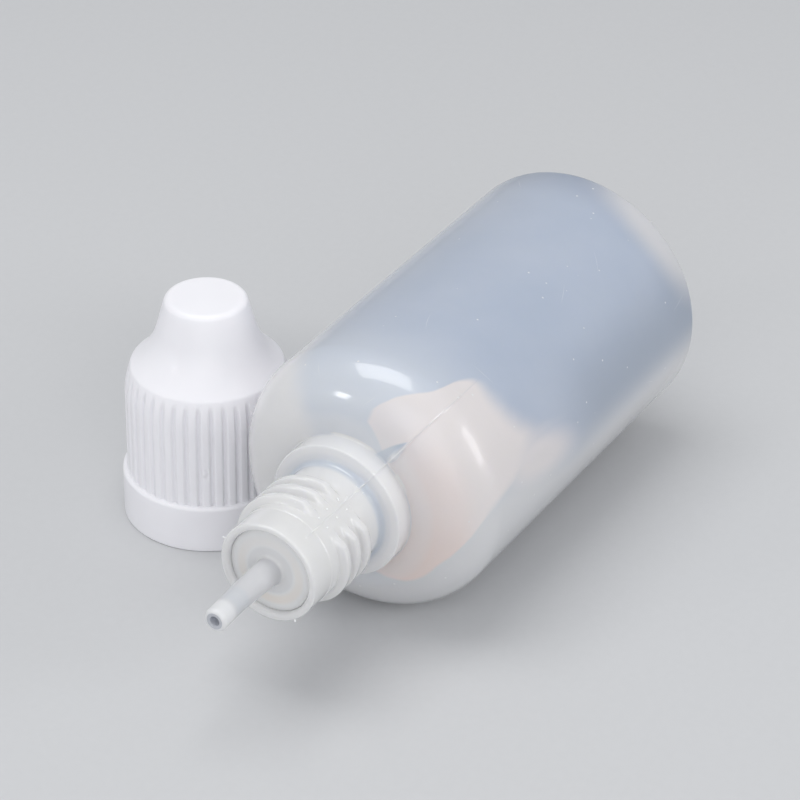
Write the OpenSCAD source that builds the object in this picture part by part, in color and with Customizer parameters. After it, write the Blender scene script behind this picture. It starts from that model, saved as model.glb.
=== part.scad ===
// Squeezable eye drop bottle lying on its side, with its child-resistant cap standing beside it.
// +X runs along the bottle from its base to the dropper tip, +Z is up and the two rest on Z = 0.
// The origin is the middle of the whole set's outline, on the surface that it rests on.

/* [Bottle body] */
// Outer diameter of the body
body_d = 33; // [28:0.5:40]
// Length from the base to the top of the shoulder
body_len = 55.9; // [44:0.1:80]
// Length along the axis over which the shoulder curves in
shoulder_len = 6.5; // [4:0.1:9]
// How far the shoulder curves in towards the neck
shoulder_in = 6.8; // [5:0.1:7.5]
// Length along the axis over which the heel curves in
heel_len = 2.3; // [1.8:0.1:4]
// How far the heel curves in towards the middle of the base
heel_in = 5.8; // [3:0.1:6.5]
// Wall of the body and the shoulder
body_wall = 1.0; // [0.7:0.05:1.6]
// Thickness of the base
base_wall = 1.4; // [1.0:0.05:1.7]
// Diameter of the raised middle of the base
push_up_d = 17; // [10:0.5:18]
// Height of the raised middle of the base
push_up = 0.5; // [0.2:0.05:0.7]

/* [Bottle neck] */
// Height of the neck above the shoulder
neck_h = 17.05; // [16:0.05:20]
// Outer diameter of the neck under its thread
neck_d = 12.4; // [12.1:0.05:12.8]
// Diameter of the plain land in front of the thread
land_d = 12.3; // [12:0.05:12.4]
// Diameter over the neck thread
thread_d = 14.2; // [13.4:0.05:14.5]
// Pitch of the thread
thread_pitch = 2.1; // [1.8:0.05:2.4]
// Turns of the neck thread
thread_turns = 3; // [2:0.25:3.25]
// Width of the thread ridge at its root
thread_root_w = 1.5; // [1.1:0.05:1.6]
// Width of the thread ridge at its crest
thread_crest_w = 0.55; // [0.3:0.05:0.8]
// Plain length of the neck in front of the thread
land_len = 3.6; // [3:0.05:5]
// Diameter of the collar at the root of the neck
collar_d = 16.7; // [16:0.05:17]
// Length of the collar along the axis
collar_len = 2.75; // [2:0.05:3.5]
// Rounding between the shoulder and the collar
collar_root = 0.3; // [0.1:0.05:0.4]
// Rounding of the collar's front edge
collar_edge = 0.2; // [0.1:0.05:0.4]
// Fillet between the collar's front face and the neck
collar_fillet = 0.75; // [0.3:0.05:0.9]
// Diameter of the bore that holds the dropper tip
bore_d = 10.4; // [10:0.05:10.6]
// Diameter of the throat behind the dropper tip
throat_d = 9.8; // [8:0.05:9.9]
// Rounding of the lip outside
lip_out = 0.25; // [0.1:0.05:0.35]
// Rounding of the lip inside
lip_in = 0.5; // [0.2:0.05:0.55]

/* [Dropper tip] */
// Length of the plug inside the neck
plug_len = 10; // [7:0.1:11]
// Depth of the plug's face below the lip
plug_recess = 0.65; // [0.4:0.05:1]
// Running clearance between the plug's sealing ridges and the bore, on the radius
plug_gap = 0.03; // [0.02:0.01:0.08]
// How far the sealing ridges stand out from the plug
plug_ridge = 0.15; // [0.1:0.01:0.25]
// Length of each sealing ridge
plug_ridge_len = 1.4; // [1:0.1:2]
// Wall of the plug's skirt
plug_wall = 0.85; // [0.6:0.05:1.2]
// Thickness of the plug's face
plug_face = 1.3; // [1:0.05:2]
// Width of the chamfer between the plug's hollow and its face
plug_chamfer = 1.2; // [0.4:0.1:1.8]
// Length of the tube from the plug's face to its end
tube_len = 11.2; // [8:0.1:12]
// Diameter of the tube at the plug's face
tube_root_d = 3.3; // [3:0.05:3.6]
// Diameter of the straight end of the tube
tube_end_d = 2.8; // [2.5:0.05:3]
// Length of the straight end of the tube
tube_end_len = 4.2; // [3:0.1:6]
// Rounding of the tube's end
tube_round = 0.45; // [0.2:0.05:0.6]
// Bore of the tube
tube_bore_d = 1.9; // [1.6:0.05:2]
// Diameter of the orifice at the end of the tube
orifice_d = 1.2; // [0.8:0.05:1.5]
// Length of the orifice
orifice_len = 2.5; // [1.5:0.1:4]

/* [Outer cap] */
// Diameter of the smooth band at the cap's mouth
band_d = 20.9; // [20.6:0.1:24]
// Height of the band
band_h = 6.1; // [5:0.1:8]
// Rounding of the band's upper edge
band_round = 0.4; // [0.1:0.05:0.45]
// Chamfer at the foot of the band
band_chamfer = 0.15; // [0.05:0.05:0.3]
// Diameter over the grip ribs
rib_d = 19.85; // [19.7:0.05:20.4]
// Number of grip ribs
rib_count = 40; // [24:1:48]
// Width of each rib
rib_w = 1.05; // [0.5:0.05:1.15]
// Depth of the grooves between the ribs
rib_h = 0.35; // [0.15:0.05:0.45]
// Height below the crease at which the ribs start to lean in
rib_lean = 4.0; // [2:0.1:6]
// Diameter of the crease where the ribs meet the shoulder
crease_d = 18.3; // [17.9:0.05:18.8]
// Radius of the hollow curve between the shoulder and the knob
waist_r = 9.7; // [8.5:0.1:11]
// Lean of the knob's side
knob_lean = 15.2; // [11:0.1:18]
// Diameter of the knob where the hollow curve ends
knob_root_d = 11.86; // [11.4:0.02:12.6]
// Rounding of the knob's upper edge
knob_round = 0.85; // [0.3:0.05:1.2]
// Wall over the shoulder and the knob
shell_wall = 1.1; // [0.8:0.05:1.2]
// Wall of the top
shell_top = 0.85; // [0.6:0.05:1]
// Wall of the band round the inner cap's flange
band_wall = 1.25; // [1:0.05:1.4]
// Inner diameter under the ribs
shell_bore_d = 17.3; // [17.2:0.05:17.5]
// Height up to which the band is bored wider for the inner cap's flange
chamber_top_z = 6.2; // [5.2:0.1:7.5]
// How far the snap bead reaches in from the chamber wall
bead_reach = 0.6; // [0.3:0.05:0.7]
// Height of the snap bead's seat
bead_z = 1.7; // [1.4:0.05:2]
// Thickness of the snap bead
bead_t = 0.6; // [0.4:0.05:0.8]
// Number of drive lugs, and of the teeth that they meet
drive_count = 8; // [4:1:10]
// Width of a drive lug or tooth
drive_w = 1.3; // [0.8:0.05:1.6]
// Depth of a drive lug or tooth towards the cap's axis
drive_depth = 1.6; // [1:0.1:2]

/* [Inner cap] */
// How far the outer cap is pressed down to take hold of the inner cap
press_travel = 0.8; // [0.5:0.05:1]
// Clearance between the flange and the chamber wall, on the radius
flange_gap = 0.08; // [0.04:0.01:0.2]
// Clearance between the flange and the snap bead's seat
seat_gap = 0.03; // [0.02:0.01:0.1]
// Thickness of the flange
flange_t = 1.4; // [1:0.05:2]
// Clearance between the inner cap's skirt and the outer cap, on the radius
skirt_gap = 0.3; // [0.2:0.05:0.45]
// Clearance between the neck thread and the skirt, on the radius
thread_gap = 0.35; // [0.2:0.05:0.4]
// Clearance between the cap thread's crest and the neck, on the radius
crest_gap = 0.3; // [0.15:0.05:0.4]
// Thickness of the plate that seals on the lip
plate_t = 1.2; // [0.9:0.05:1.4]
// Height of the drive teeth
tooth_h = 0.9; // [0.7:0.05:1]
// Clearance round the tube inside the snout
snout_gap = 0.45; // [0.3:0.05:0.6]
// Wall of the snout
snout_wall = 0.9; // [0.6:0.05:1.1]
// Thickness of the snout's closed end
snout_top = 0.75; // [0.6:0.05:1]
// Clearance between the tube's end and the snout's closed end
snout_end_gap = 0.1; // [0.05:0.05:0.3]
// Height that the press leaves free inside the cap's top
press_room = 0.1; // [0.05:0.05:0.4]
// Height from the pressed inner cap's plate to the crease
shoulder_room = 2.15; // [1.9:0.05:3]
// Length of the chamfers on the flange and round the plate
inner_chamfer = 0.4; // [0.1:0.05:0.6]
// Length of the pin that closes the orifice
pin_len = 1.0; // [0.6:0.05:1.5]
// Clearance between the pin and the orifice, on the radius
pin_gap = 0.08; // [0.05:0.01:0.15]

/* [Layout] */
// Distance along the bottle from its base to the cap's axis
cap_along = 44.6; // [20:0.1:50]
// Gap between the cap's ribs and the bottle
cap_gap = 0.15; // [0.1:0.05:10]

/* [Hidden] */
$fn = 96;

eps = 0.1;

// Thread ridges are drawn with this many steps a turn, grow to full height over the first few
// of them and again at the end, and are rooted this deep in the wall that carries them.
thread_steps = 32;
thread_fade = 4;
thread_sink = 0.15;

body_r = body_d / 2;
collar_r = collar_d / 2;
neck_r = neck_d / 2;
land_r = land_d / 2;
bore_r = bore_d / 2;
lip_x = body_len + neck_h;
collar_x = body_len + collar_len;
face_x = lip_x - plug_recess;
plug_x = face_x - plug_len;
tip_x = face_x + tube_len;
rib_r = rib_d / 2;
band_r = band_d / 2;

// The cap stands with its ribs just clear of the bottle's side.
cap_side = body_r + cap_gap + rib_r;
mid_x = tip_x / 2;
mid_y = (body_r - cap_side - band_r) / 2;

// The screwed-on cap seats its inner flange on the collar, so heights inside it follow the neck.
flange_z = bead_z + seat_gap;
chamber_r = band_r - band_wall;
flange_r = chamber_r - flange_gap;
lip_z = flange_z + neck_h - collar_len + eps;
tube_end_z = flange_z + tip_x - collar_x + eps;
skirt_r = shell_bore_d / 2 - skirt_gap;
skirt_bore_r = thread_d / 2 + thread_gap;
crest_r = neck_r + crest_gap;
plate_z = lip_z + plate_t;
snout_bore_r = tube_root_d / 2 + snout_gap;
snout_end_z = tube_end_z + snout_end_gap;

// The outer cap is as high as the inner cap needs when it is pressed up to the top.
cap_h = snout_end_z + snout_top + press_travel + press_room + shell_top;
crease_z = plate_z + press_travel + shoulder_room;
rib_lean_z = crease_z - rib_lean;
waist_x = knob_root_d / 2 + waist_r * cos(knob_lean);
crease_a = acos((waist_x - crease_d / 2) / waist_r);
waist_z = crease_z + waist_r * sin(crease_a);

// Drive teeth stand on the plate, and drive lugs hang between them from the shoulder.
lug_z = plate_z + tooth_h + eps;
drive_out_r = skirt_r - inner_chamfer;
drive_in_r = drive_out_r - drive_depth;

// Points of an elliptic arc about [x, y], from angle a to angle b.
function arc(x, y, rx, ry, a, b, n = 10) =
    [for (i = [0:n]) [x + rx * cos(a + (b - a) * i / n), y + ry * sin(a + (b - a) * i / n)]];

// Outline of the outer cap above its ribs, drawn in by a wall thickness.
function cap_top(wall, top) = concat(
    arc(waist_x, waist_z, waist_r + wall, waist_r + wall, 180 + waist_angle(wall), 180 + knob_lean),
    [[knob_r(cap_h - top, wall), cap_h - top], [0, cap_h - top]]);
function waist_angle(wall) = acos((waist_x - (wall > 0 ? shell_bore_d : crease_d) / 2) / (waist_r + wall));
function knob_r(z, wall) = waist_x - (waist_r + wall) * cos(knob_lean)
    - (z - waist_z + (waist_r + wall) * sin(knob_lean)) * tan(knob_lean);

// Lays a shape drawn about +Z along the bottle's axis.
module along_bottle() {
    translate([-mid_x, -mid_y, body_r]) rotate([0, 90, 0]) children();
}

// Stands a shape drawn about +Z in the cap's place.
module in_cap_place() {
    translate([cap_along - mid_x, -cap_side - mid_y, 0]) children();
}

// A right-hand screw ridge. Its two ends run out into the wall that carries it.
module screw_ridge(root_r, top_r, start_z, turns) {
    last = round(turns * thread_steps);
    sink = thread_sink * sign(top_r - root_r);
    function rise(i) = min(1, i / thread_fade, (last - i) / thread_fade);
    function ring(i) =
        let (a = 360 * i / thread_steps, z = start_z + thread_pitch * i / thread_steps)
        let (foot = root_r - sink, peak = root_r - sink / 2 + (top_r - root_r + sink / 2) * rise(i))
        let (fw = thread_root_w / 2, cw = thread_crest_w / 2)
        [for (p = [[foot, z - fw], [foot, z + fw], [peak, z + cw], [peak, z - cw]])
            [p[0] * cos(a), p[0] * sin(a), p[1]]];
    inward = top_r < root_r;
    sides = [for (i = [0:last - 1], j = [0:3])
        let (k = (j + 1) % 4, a = 4 * i + j, b = 4 * i + k, c = 4 * i + 4 + k, d = 4 * i + 4 + j)
        each [inward ? [a, b, c] : [c, b, a], inward ? [a, c, d] : [d, c, a]]];
    first_cap = inward ? [3, 2, 1, 0] : [0, 1, 2, 3];
    last_cap = [for (k = first_cap) 4 * last + 3 - k];
    polyhedron(points = [for (i = [0:last]) each ring(i)], faces = concat(sides, [first_cap, last_cap]));
}

module bottle() {
    color([0.86, 0.88, 0.91]) along_bottle() {
        rotate_extrude() polygon(concat(
            [[0, push_up], [push_up_d / 2 - push_up, push_up], [push_up_d / 2, 0]],
            arc(body_r - heel_in, heel_len, heel_in, heel_len, -90, 0),
            arc(body_r - shoulder_in, body_len - shoulder_len, shoulder_in, shoulder_len, 0, 90, 14),
            arc(collar_r + collar_root, body_len + collar_root, collar_root, collar_root, 270, 180, 4),
            arc(collar_r - collar_edge, collar_x - collar_edge, collar_edge, collar_edge, 0, 90, 4),
            arc(neck_r + collar_fillet, collar_x + collar_fillet, collar_fillet, collar_fillet, 270, 180, 6),
            [[neck_r, lip_x - land_len], [land_r, lip_x - land_len]],
            arc(land_r - lip_out, lip_x - lip_out, lip_out, lip_out, 0, 90, 4),
            arc(bore_r + lip_in, lip_x - lip_in, lip_in, lip_in, 90, 180, 6),
            [[bore_r, plug_x], [throat_d / 2, plug_x], [throat_d / 2, body_len - body_wall]],
            arc(body_r - shoulder_in, body_len - shoulder_len,
                shoulder_in - body_wall, shoulder_len - body_wall, 90, 0, 14),
            arc(body_r - heel_in, heel_len, heel_in - body_wall, heel_len - base_wall, 0, -90),
            [[0, base_wall]]));
        screw_ridge(neck_r, thread_d / 2,
            lip_x - land_len - thread_root_w / 2 - thread_turns * thread_pitch, thread_turns);
    }
}

module dropper_tip() {
    ridge_r = bore_r - plug_gap;
    plug_r = ridge_r - plug_ridge;
    hollow_r = plug_r - plug_wall;
    taper_x = tip_x - tube_end_len;
    step = (tube_bore_d - orifice_d) / 2;
    color([0.93, 0.94, 0.95]) along_bottle() rotate_extrude() polygon(concat(
        [[orifice_d / 2, tip_x]],
        arc(tube_end_d / 2 - tube_round, tip_x - tube_round, tube_round, tube_round, 90, 0, 6),
        [[tube_end_d / 2, taper_x], [tube_root_d / 2, face_x]],
        [[plug_r, face_x], [ridge_r, face_x - plug_ridge]],
        [[ridge_r, face_x - plug_ridge_len], [plug_r, face_x - plug_ridge_len - plug_ridge]],
        [[plug_r, plug_x + plug_ridge_len + plug_ridge], [ridge_r, plug_x + plug_ridge_len]],
        [[ridge_r, plug_x + plug_ridge], [plug_r, plug_x], [hollow_r, plug_x]],
        [[hollow_r, face_x - plug_face - plug_chamfer], [hollow_r - plug_chamfer, face_x - plug_face]],
        [[tube_bore_d / 2, face_x - plug_face], [tube_bore_d / 2, tip_x - orifice_len - step]],
        [[orifice_d / 2, tip_x - orifice_len]]));
}

module grip_ribs() {
    lean = rib_r - crease_d / 2;
    rise = crease_z - rib_lean_z;
    lean_r = (lean * lean + rise * rise) / (2 * lean);
    intersection() {
        rotate_extrude() polygon(concat(
            [[0, band_h - eps], [rib_r, band_h - eps]],
            arc(rib_r - lean_r, rib_lean_z, lean_r, lean_r, 0, asin(rise / lean_r)),
            [[0, crease_z]]));
        for (i = [0:rib_count - 1])
            rotate([0, 0, (i + 0.5) * 360 / rib_count])
                translate([rib_r - 2 * rib_h, -rib_w / 2, band_h - eps])
                    cube([3 * rib_h, rib_w, crease_z - band_h + eps]);
    }
}

module drive_lugs() {
    intersection() {
        rotate_extrude() polygon(concat([[0, lug_z], [shell_bore_d / 2, lug_z]], cap_top(shell_wall / 2, shell_top)));
        for (i = [0:drive_count - 1])
            rotate([0, 0, i * 360 / drive_count])
                translate([drive_in_r, -drive_w / 2, lug_z])
                    cube([drive_out_r - drive_in_r, drive_w, cap_h - lug_z]);
    }
}

module outer_cap() {
    root_r = rib_r - rib_h;
    bead_r = chamber_r - bead_reach;
    shell_bore_r = shell_bore_d / 2;
    tangent_z = cap_h - knob_round * (1 - sin(knob_lean));
    color([0.97, 0.97, 0.98]) in_cap_place() {
        rotate_extrude() polygon(concat(
            [[chamber_r, 0], [band_r - band_chamfer, 0], [band_r, band_chamfer]],
            arc(band_r - band_round, band_h - band_round, band_round, band_round, 0, 90, 5),
            [[root_r, band_h], [root_r, rib_lean_z]],
            arc(waist_x, waist_z, waist_r, waist_r, 180 + crease_a, 180 + knob_lean, 12),
            arc(knob_r(tangent_z, 0) - knob_round * cos(knob_lean), cap_h - knob_round,
                knob_round, knob_round, knob_lean, 90, 5),
            [[0, cap_h], [0, cap_h - shell_top], [knob_r(cap_h - shell_top, shell_wall), cap_h - shell_top]],
            arc(waist_x, waist_z, waist_r + shell_wall, waist_r + shell_wall,
                180 + knob_lean, 180 + waist_angle(shell_wall), 12),
            [[shell_bore_r, chamber_top_z + chamber_r - shell_bore_r], [chamber_r, chamber_top_z]],
            [[chamber_r, bead_z], [bead_r, bead_z], [bead_r, bead_z - bead_t]],
            [[chamber_r, bead_z - bead_t - bead_reach]]));
        grip_ribs();
        drive_lugs();
    }
}

module inner_cap() {
    teeth_turn = 180 / drive_count;
    color([0.95, 0.95, 0.94]) in_cap_place() {
        rotate_extrude() polygon(concat(
            [[skirt_bore_r, flange_z], [flange_r - inner_chamfer, flange_z]],
            [[flange_r, flange_z + inner_chamfer]],
            [[flange_r, flange_z + flange_t], [skirt_r, flange_z + flange_t]],
            [[skirt_r, plate_z - inner_chamfer], [skirt_r - inner_chamfer, plate_z]],
            [[snout_bore_r + snout_wall, plate_z], [tube_end_d / 2 + snout_gap + snout_wall, snout_end_z]],
            [[tube_end_d / 2 + snout_gap, snout_end_z + snout_top], [0, snout_end_z + snout_top]],
            [[0, snout_end_z - pin_len], [orifice_d / 2 - pin_gap, snout_end_z - pin_len]],
            [[orifice_d / 2 - pin_gap, snout_end_z], [tube_end_d / 2 + snout_gap, snout_end_z]],
            [[snout_bore_r, lip_z], [skirt_bore_r, lip_z]]));
        screw_ridge(skirt_bore_r, crest_r, flange_z + thread_root_w, thread_turns);
        for (i = [0:drive_count - 1])
            rotate([0, 0, teeth_turn + i * 360 / drive_count])
                translate([drive_in_r, -drive_w / 2, plate_z - plate_t / 2])
                    cube([drive_out_r - drive_in_r, drive_w, tooth_h + plate_t / 2]);
    }
}

bottle();
dropper_tip();
outer_cap();
inner_cap();
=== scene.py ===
import math
import random
from functools import partial, reduce

import bmesh
import bpy
import numpy as np
from mathutils import Matrix, Vector


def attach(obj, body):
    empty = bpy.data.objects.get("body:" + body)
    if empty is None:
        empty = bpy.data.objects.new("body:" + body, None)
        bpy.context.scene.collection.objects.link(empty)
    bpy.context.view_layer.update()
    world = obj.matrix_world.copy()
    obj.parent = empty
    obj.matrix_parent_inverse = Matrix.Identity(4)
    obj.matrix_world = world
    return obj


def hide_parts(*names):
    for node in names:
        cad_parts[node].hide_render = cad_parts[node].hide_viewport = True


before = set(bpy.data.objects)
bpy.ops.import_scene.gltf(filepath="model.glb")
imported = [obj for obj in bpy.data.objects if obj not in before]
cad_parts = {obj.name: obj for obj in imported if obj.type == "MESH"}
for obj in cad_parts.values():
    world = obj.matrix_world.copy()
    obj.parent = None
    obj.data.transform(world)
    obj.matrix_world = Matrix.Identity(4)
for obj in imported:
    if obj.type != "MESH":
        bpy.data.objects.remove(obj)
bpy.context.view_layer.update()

MM = 0.001


# Bottle
# One blow-moulded piece of natural low-density polyethylene, milky and faintly blue, lying on its side.
# The two mould halves meet on a line that runs over the shoulder, the collar and the neck, and the
# thread turns stop short of that line.

body_r, body_len = 16.5, 55.9
shoulder_len, shoulder_in = 6.5, 6.8
heel_len, heel_in = 2.3, 5.8
body_wall, base_wall = 1.0, 1.4
foot_r, push_up = 8.5, 0.5
collar_r, collar_len, collar_root, collar_edge, collar_fillet = 8.35, 2.75, 0.3, 0.2, 0.75
neck_r, land_r, crest_r = 6.2, 6.15, 7.1
bore_r, throat_r = 5.2, 4.9
lip_out, lip_in, land_len = 0.25, 0.5, 3.6
thread_pitch, thread_turns, thread_root_w, thread_crest_w, thread_run_out = 2.1, 3.0, 1.5, 0.55, 0.14
collar_s = body_len + collar_len
lip_s = body_len + 17.05
face_s = lip_s - 0.65
plug_s = face_s - 10.0
thread_s = lip_s - land_len - thread_root_w / 2 - thread_turns * thread_pitch
parting_deg = 142.5

# How high the parting line stands, its thick pinch behind the collar, the tail of that pinch, and the fin on
# the heel.
line_h, pinch_h, tail_h, fin_h = 0.08, 0.48, 0.2, 0.28

# A shape is made standing on its base about +Z, in metres, and then laid along the bottle's axis. The middle
# of the base comes to rest here, in millimetres.
base_x, axis_y, axis_z = -41.75, 10.2625, body_r
lying = Matrix.Translation((base_x * MM, axis_y * MM, axis_z * MM)) @ Matrix.Rotation(math.radians(90), 4, "Y")


def sin_deg(degrees):
    return math.sin(math.radians(degrees))


def cos_deg(degrees):
    return math.cos(math.radians(degrees))


def arc(r, z, rr, rz, start, end, steps):
    """Points (radius, height) of an elliptic arc about (r, z). Angle 0 is outwards and 90 is up."""
    turns = [start + (end - start) * i / steps for i in range(steps + 1)]
    return [(r + rr * cos_deg(a), z + rz * sin_deg(a)) for a in turns]


def divided(outline, longest):
    """The outline with its straight runs cut up. longest gives the longest run allowed at a radius and height."""
    cut = [outline[0]]
    for (r0, z0), (r1, z1) in zip(outline, outline[1:]):
        if abs(r1 - r0) + abs(z1 - z0) < 1e-6:
            continue
        parts = max(1, math.ceil(math.hypot(r1 - r0, z1 - z0) / longest((r0 + r1) / 2, (z0 + z1) / 2)))
        cut += [(r0 + (r1 - r0) * i / parts, z0 + (z1 - z0) * i / parts) for i in range(1, parts + 1)]
    return cut


def new_object(name, data):
    """An object in the scene, at the origin."""
    made = bpy.data.objects.new(name, data)
    bpy.context.scene.collection.objects.link(made)
    return made


def turned(name, outline, columns, raised=None, bowed=None, crease=38):
    """A closed shape turned about +Z from an outline in millimetres, with a column of points at each angle.
    raised(r, z, angles) lifts points square to the wall and bowed(z) gives the axis's own x and y."""
    angles = np.radians(np.array(sorted(columns), float))
    shape = bmesh.new()
    rings = []
    for i, (r, z) in enumerate(outline):
        ax, ay = bowed(z) if bowed else (0.0, 0.0)
        if r < 1e-6:
            rings.append([shape.verts.new((ax * MM, ay * MM, z * MM))] * len(angles))
            continue
        lift = raised(r, z, angles) if raised else np.zeros(len(angles))
        (r0, z0), (r1, z1) = outline[i - 1], outline[(i + 1) % len(outline)]
        run = math.hypot(r1 - r0, z1 - z0)
        rings.append([shape.verts.new(((ax + o * math.cos(a)) * MM, (ay + o * math.sin(a)) * MM, h * MM))
                      for o, h, a in zip(r + lift * (z1 - z0) / run, z - lift * (r1 - r0) / run, angles)])
    if outline[0][0] > 1e-6:
        rings.append(rings[0])
    for low, high in zip(rings, rings[1:]):
        for i in range(len(angles)):
            j = (i + 1) % len(angles)
            corners = [low[i], low[j], high[j], high[i]]
            corners = [c for k, c in enumerate(corners) if c not in corners[:k]]
            if len(corners) > 2:
                shape.faces.new(corners)
    bmesh.ops.remove_doubles(shape, verts=shape.verts, dist=1e-7)
    bmesh.ops.recalc_face_normals(shape, faces=shape.faces)
    if shape.calc_volume(signed=True) < 0:
        bmesh.ops.reverse_faces(shape, faces=shape.faces)
    for face in shape.faces:
        face.smooth = True
    for edge in shape.edges:
        if len(edge.link_faces) == 2 and edge.calc_face_angle() > math.radians(crease):
            edge.smooth = False
    mesh = bpy.data.meshes.new(name)
    shape.to_mesh(mesh)
    shape.free()
    return new_object(name, mesh)


def laid(piece, place):
    """Puts a finished piece in its place, in its mesh."""
    piece.data.transform(place)
    piece.data.update()


def node(tree, kind, feeds=(), **settings):
    """A new node. feeds pairs its inputs, by name or number, with sockets or plain values."""
    made = tree.nodes.new(kind)
    for name, value in settings.items():
        setattr(made, name, value)
    for name, feed in dict(feeds).items():
        if isinstance(feed, bpy.types.NodeSocket):
            tree.links.new(feed, made.inputs[name])
        else:
            made.inputs[name].default_value = feed
    return made


def calc(operation, *feeds, clamp=False):
    """The result of a Math node fed by sockets or plain numbers, in the tree that its sockets belong to."""
    tree = next(feed.id_data for feed in feeds if isinstance(feed, bpy.types.NodeSocket))
    return node(tree, "ShaderNodeMath", enumerate(feeds), operation=operation, use_clamp=clamp).outputs[0]


plus, minus, times, ratio = (partial(calc, name) for name in ("ADD", "SUBTRACT", "MULTIPLY", "DIVIDE"))
larger, smaller, below, absolute = (partial(calc, name) for name in ("MAXIMUM", "MINIMUM", "LESS_THAN", "ABSOLUTE"))
scaled = partial(calc, "MULTIPLY_ADD")


def eased(feed):
    """A value from 0 to 1 with its two ends eased."""
    return times(times(feed, feed), minus(3.0, times(feed, 2.0)))


def off_centre(x, y):
    """How far a point lies from the middle."""
    return calc("SQRT", plus(times(x, x), times(y, y)))


def split(vector):
    """The x, y and z of a vector."""
    return node(vector.id_data, "ShaderNodeSeparateXYZ", {0: vector}).outputs


def vector_of(tree, x=0.0, y=0.0, z=0.0):
    """A vector from three sockets or plain numbers."""
    return node(tree, "ShaderNodeCombineXYZ", {0: x, 1: y, 2: z}).outputs[0]


def new_geometry_tree(name, *sizes):
    """A geometry tree with a mesh, the named sizes and a material coming in, and a mesh going out."""
    tree = bpy.data.node_groups.new(name, "GeometryNodeTree")
    tree.interface.new_socket("Geometry", in_out="OUTPUT", socket_type="NodeSocketGeometry")
    for socket, kind in (("Geometry", "Geometry"), *((size, "Float") for size in sizes), ("Material", "Material")):
        tree.interface.new_socket(socket, in_out="INPUT", socket_type="NodeSocket" + kind)
    return tree, tree.nodes.new("NodeGroupInput").outputs


def close_geometry_tree(tree, geometry, material):
    """Ends a geometry tree in Realize Instances and Set Material."""
    real = node(tree, "GeometryNodeRealizeInstances", {0: geometry}).outputs[0]
    dressed = node(tree, "GeometryNodeSetMaterial", {"Geometry": real, "Material": material}).outputs[0]
    node(tree, "NodeGroupOutput", {0: dressed})
    return tree


def point_of(tree):
    """Where a point of the mesh lies: x, y, z and how far from +Z."""
    x, y, z = split(tree.nodes.new("GeometryNodeInputPosition").outputs[0])
    return x, y, z, off_centre(x, y)


def close_moved_outwards(tree, sizes, x, y, radius, lift):
    """Ends a geometry tree by moving each point away from +Z by a lift."""
    share = ratio(lift, larger(radius, 0.1 * MM))
    offset = vector_of(tree, times(x, share), times(y, share))
    moved = node(tree, "GeometryNodeSetPosition", {"Geometry": sizes["Geometry"], "Offset": offset}).outputs[0]
    return close_geometry_tree(tree, moved, sizes["Material"])


def shaped_by(piece, tree, sizes):
    """Runs a geometry tree on a piece and keeps the result as its plain mesh."""
    modifier = piece.modifiers.new(tree.name, "NODES")
    modifier.node_group = tree
    for socket in tree.interface.items_tree:
        if socket.in_out == "INPUT" and socket.name in sizes:
            modifier[socket.identifier] = sizes[socket.name]
    bpy.context.view_layer.update()
    made = piece.evaluated_get(bpy.context.evaluated_depsgraph_get())
    mesh = bpy.data.meshes.new_from_object(made)
    piece.modifiers.remove(modifier)
    piece.data = mesh


def screw_thread_tree():
    """Lifts a helical ridge out of a turned wall: out of the neck, or inwards from the inner cap's bore."""
    tree, sizes = new_geometry_tree(
        "screw_thread", "Wall Radius", "Ridge Height", "Start", "Pitch", "Turns", "Root Width", "Crest Width",
        "Run Out", "Stop Angle", "Stop Inner", "Stop Outer", "Stop Depth")
    x, y, z, radius = point_of(tree)
    angle = calc("ARCTAN2", y, x)
    share = calc("FRACT", plus(ratio(angle, 2 * math.pi), 1.0))
    along = ratio(minus(z, sizes["Start"]), sizes["Pitch"])
    turn = calc("ROUND", minus(along, share))
    turn = larger(smaller(turn, minus(sizes["Turns"], 1.0)), 0.0)
    progress = plus(turn, share)
    off = times(absolute(minus(along, progress)), sizes["Pitch"])
    root = times(sizes["Root Width"], 0.5)
    flank = minus(root, times(sizes["Crest Width"], 0.5))
    ridge = eased(ratio(minus(root, off), flank, clamp=True))
    first = ratio(progress, sizes["Run Out"], clamp=True)
    last = ratio(minus(sizes["Turns"], progress), sizes["Run Out"], clamp=True)
    ridge = times(ridge, times(eased(first), eased(last)))

    # The ridge drops near the parting line, on both sides of the neck.
    double = calc("COSINE", times(minus(angle, sizes["Stop Angle"]), 2.0))
    wide = calc("COSINE", times(sizes["Stop Outer"], 2.0))
    narrow = calc("COSINE", times(sizes["Stop Inner"], 2.0))
    stop = ratio(minus(double, wide), minus(narrow, wide), clamp=True)
    ridge = times(ridge, minus(1.0, times(eased(stop), sizes["Stop Depth"])))

    on_wall = below(absolute(minus(radius, sizes["Wall Radius"])), 0.08 * MM)
    lift = times(times(ridge, on_wall), sizes["Ridge Height"])
    return close_moved_outwards(tree, sizes, x, y, radius, lift)


def new_shader_group(name, sizes, results, vectors=()):
    """A shader node group with named vectors and sizes coming in, each size with its default, and named
    results going out."""
    tree = bpy.data.node_groups.new(name, "ShaderNodeTree")
    for vector in vectors:
        tree.interface.new_socket(vector, in_out="INPUT", socket_type="NodeSocketVector")
    for size, default in sizes.items():
        tree.interface.new_socket(size, in_out="INPUT", socket_type="NodeSocketFloat").default_value = default
    for result in results:
        tree.interface.new_socket(result, in_out="OUTPUT", socket_type="NodeSocketFloat")
    return tree, tree.nodes.new("NodeGroupInput").outputs, tree.nodes.new("NodeGroupOutput").inputs


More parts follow.
